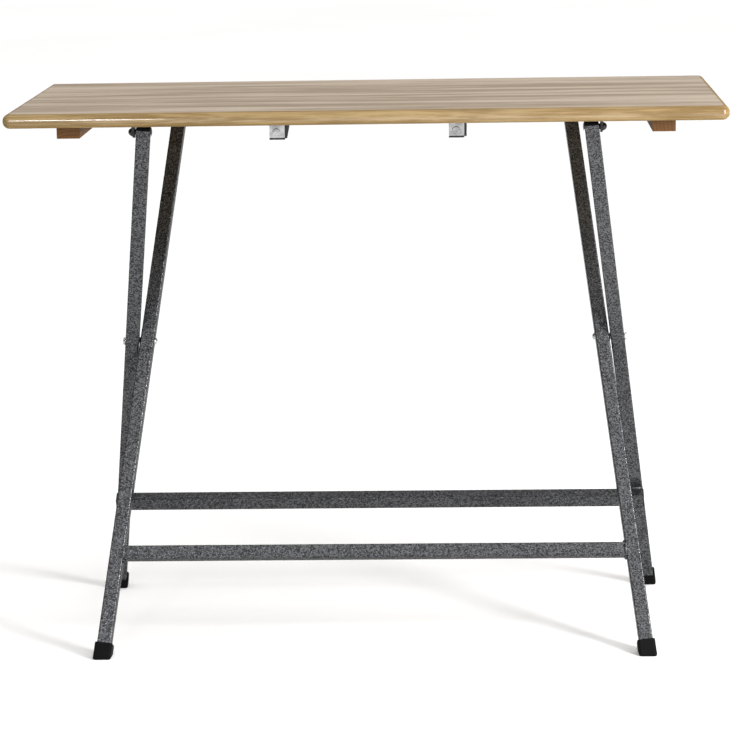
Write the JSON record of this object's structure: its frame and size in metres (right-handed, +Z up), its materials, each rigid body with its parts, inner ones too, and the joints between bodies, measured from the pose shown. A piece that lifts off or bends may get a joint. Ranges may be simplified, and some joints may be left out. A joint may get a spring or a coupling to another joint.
{
  "type": "folding scissor-leg work table",
  "caption": "Folding trestle work table: rounded wooden board on two crossed, splayed leg frames of square steel tube, hinged at the front.",
  "frame": {"origin": "on the floor, under the middle of the board", "axes": "+X along the board's long side to the right, +Y to the back, +Z up; the hinge line is at the front (-Y)"},
  "size_m": [1, 0.5, 0.785],
  "materials": {
    "board_wood": "satin, fine straight grain",
    "batten_wood": "satin, reddish brown",
    "hammered_paint": "hammered, semi-gloss",
    "weld_paint": "hammered over a weld bead",
    "black_steel": "satin black",
    "black_plastic": "matt black",
    "foot_rubber": "matt black",
    "zinc_sheet": "bright zinc",
    "zinc_fastener": "bright zinc"
  },
  "bodies": {
    "board": {"tabletop": "board_wood", "batten_left": "batten_wood", "batten_right": "batten_wood", "batten_screws": "zinc_fastener", "hinge_bracket_left": "black_steel", "hinge_bracket_right": "black_steel", "hinge_bracket_screws": "zinc_fastener", "hinge_pin_left": "black_steel", "hinge_pin_right": "black_steel", "front_catch_left": "zinc_sheet", "front_catch_right": "zinc_sheet", "rear_catch_left": "zinc_sheet", "rear_catch_right": "zinc_sheet", "catch_screws": "zinc_fastener"},
    "outer_frame": {"outer_leg_left": "hammered_paint", "outer_leg_right": "hammered_paint", "outer_plug_left": "black_plastic", "outer_plug_right": "black_plastic", "outer_foot_left": "foot_rubber", "outer_foot_right": "foot_rubber", "rear_stretcher": "hammered_paint", "rear_stretcher_cap_left": "black_plastic", "rear_stretcher_cap_right": "black_plastic", "rear_stretcher_welds": "weld_paint", "pivot_bolt_left": "zinc_fastener", "pivot_bolt_right": "zinc_fastener", "pivot_nut_left": "zinc_fastener", "pivot_nut_right": "zinc_fastener", "pivot_spacer_left": "black_plastic", "pivot_spacer_right": "black_plastic"},
    "inner_frame": {"inner_leg_left": "hammered_paint", "inner_leg_right": "hammered_paint", "inner_plug_left": "black_plastic", "inner_plug_right": "black_plastic", "inner_foot_left": "foot_rubber", "inner_foot_right": "foot_rubber", "inner_crossbar": "hammered_paint", "crossbar_welds": "weld_paint", "front_stretcher": "hammered_paint", "front_stretcher_welds": "weld_paint"}
  },
  "joints": [
    {"name": "front_hinge", "type": "hinge", "parent": "board", "child": "outer_frame", "pos_m": [0, -0.15851, 0.75], "axis": [-1, 0, 0], "range_deg": [0, 21.5]},
    {"name": "scissor_pivot", "type": "hinge", "parent": "outer_frame", "child": "inner_frame", "pos_m": [0, 0, 0.425], "axis": [1, 0, 0], "range_deg": [0, 43]}
  ],
  "couplings": [
    {"joint": "scissor_pivot", "follows": "front_hinge", "ratio": 2}
  ]
}
